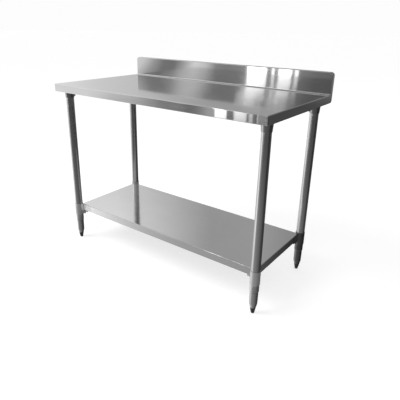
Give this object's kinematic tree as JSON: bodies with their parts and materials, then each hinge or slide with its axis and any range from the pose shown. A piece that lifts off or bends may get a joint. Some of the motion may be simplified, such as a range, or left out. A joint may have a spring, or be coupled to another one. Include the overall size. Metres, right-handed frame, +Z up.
{
  "type": "stainless work table",
  "caption": "Folded sheet-metal work table with coved backsplash, tube legs, height-adjustable undershelf on leg clamps and screw-in levelling feet.",
  "frame": {"origin": "on the floor under the middle of the table's bounding box", "axes": "+X along the length to the user's right, +Y from the front to the backsplash, +Z up"},
  "size_m": [1.2192, 0.635, 0.9906],
  "materials": {
    "worktop_steel": "brushed along the length",
    "shelf_steel": "fine satin",
    "leg_steel": "polished tube",
    "gusset_steel": "satin",
    "foot_steel": "satin",
    "channel_galvanised": "galvanised",
    "fastener_steel": "bright zinc",
    "clamp_casting": "as cast, tumbled",
    "insert_casting": "as cast",
    "foot_tip_plastic": "black moulded"
  },
  "bodies": {
    "table": {"gusset_bolts": "fastener_steel", "gusset_front_left": "gusset_steel", "gusset_front_right": "gusset_steel", "gusset_nuts": "fastener_steel", "gusset_rear_left": "gusset_steel", "gusset_rear_right": "gusset_steel", "gusset_set_screws": "fastener_steel", "leg_front_left": "leg_steel", "leg_front_right": "leg_steel", "leg_insert_front_left": "insert_casting", "leg_insert_front_right": "insert_casting", "leg_insert_rear_left": "insert_casting", "leg_insert_rear_right": "insert_casting", "leg_rear_left": "leg_steel", "leg_rear_right": "leg_steel", "splash_end_left": "worktop_steel", "splash_end_right": "worktop_steel", "top_channel_nuts": "fastener_steel", "top_channel_studs": "fastener_steel", "top_cross_channel_left": "channel_galvanised", "top_cross_channel_right": "channel_galvanised", "top_long_channel": "channel_galvanised", "worktop": "worktop_steel"},
    "shelf": {"clamp_nuts": "fastener_steel", "clamp_screws": "fastener_steel", "clamp_set_screws": "fastener_steel", "leg_clamp_front_left": "clamp_casting", "leg_clamp_front_right": "clamp_casting", "leg_clamp_rear_left": "clamp_casting", "leg_clamp_rear_right": "clamp_casting", "shelf_channel": "channel_galvanised", "shelf_channel_nuts": "fastener_steel", "shelf_channel_studs": "fastener_steel", "undershelf": "shelf_steel"},
    "foot_front_left": {"foot_body_front_left": "foot_steel", "foot_stud_front_left": "fastener_steel"},
    "tip_front_left": {"foot_tip_front_left": "foot_tip_plastic"},
    "foot_front_right": {"foot_body_front_right": "foot_steel", "foot_stud_front_right": "fastener_steel"},
    "tip_front_right": {"foot_tip_front_right": "foot_tip_plastic"},
    "foot_rear_left": {"foot_body_rear_left": "foot_steel", "foot_stud_rear_left": "fastener_steel"},
    "tip_rear_left": {"foot_tip_rear_left": "foot_tip_plastic"},
    "foot_rear_right": {"foot_body_rear_right": "foot_steel", "foot_stud_rear_right": "fastener_steel"},
    "tip_rear_right": {"foot_tip_rear_right": "foot_tip_plastic"}
  },
  "joints": [
    {"name": "shelf_height", "type": "slide", "parent": "table", "child": "shelf", "axis": [0, 0, 1], "range_m": [-0.03, 0.55]},
    {"name": "foot_front_left_drop", "type": "slide", "parent": "table", "child": "tip_front_left", "axis": [0, 0, -1], "range_m": [0, 0.025]},
    {"name": "foot_front_left_turn", "type": "hinge", "parent": "tip_front_left", "child": "foot_front_left", "pos_m": [-0.5746, -0.254, 0.1], "axis": [0, 0, -1], "range_deg": [0, 5140]},
    {"name": "foot_front_right_drop", "type": "slide", "parent": "table", "child": "tip_front_right", "axis": [0, 0, -1], "range_m": [0, 0.025]},
    {"name": "foot_front_right_turn", "type": "hinge", "parent": "tip_front_right", "child": "foot_front_right", "pos_m": [0.5746, -0.254, 0.1], "axis": [0, 0, -1], "range_deg": [0, 5140]},
    {"name": "foot_rear_left_drop", "type": "slide", "parent": "table", "child": "tip_rear_left", "axis": [0, 0, -1], "range_m": [0, 0.025]},
    {"name": "foot_rear_left_turn", "type": "hinge", "parent": "tip_rear_left", "child": "foot_rear_left", "pos_m": [-0.5746, 0.2075, 0.1], "axis": [0, 0, -1], "range_deg": [0, 5140]},
    {"name": "foot_rear_right_drop", "type": "slide", "parent": "table", "child": "tip_rear_right", "axis": [0, 0, -1], "range_m": [0, 0.025]},
    {"name": "foot_rear_right_turn", "type": "hinge", "parent": "tip_rear_right", "child": "foot_rear_right", "pos_m": [0.5746, 0.2075, 0.1], "axis": [0, 0, -1], "range_deg": [0, 5140]}
  ],
  "couplings": [
    {"joint": "foot_front_left_drop", "follows": "foot_front_left_turn", "m_per_rad": 0.00027852},
    {"joint": "foot_front_right_drop", "follows": "foot_front_right_turn", "m_per_rad": 0.00027852},
    {"joint": "foot_rear_left_drop", "follows": "foot_rear_left_turn", "m_per_rad": 0.00027852},
    {"joint": "foot_rear_right_drop", "follows": "foot_rear_right_turn", "m_per_rad": 0.00027852}
  ]
}
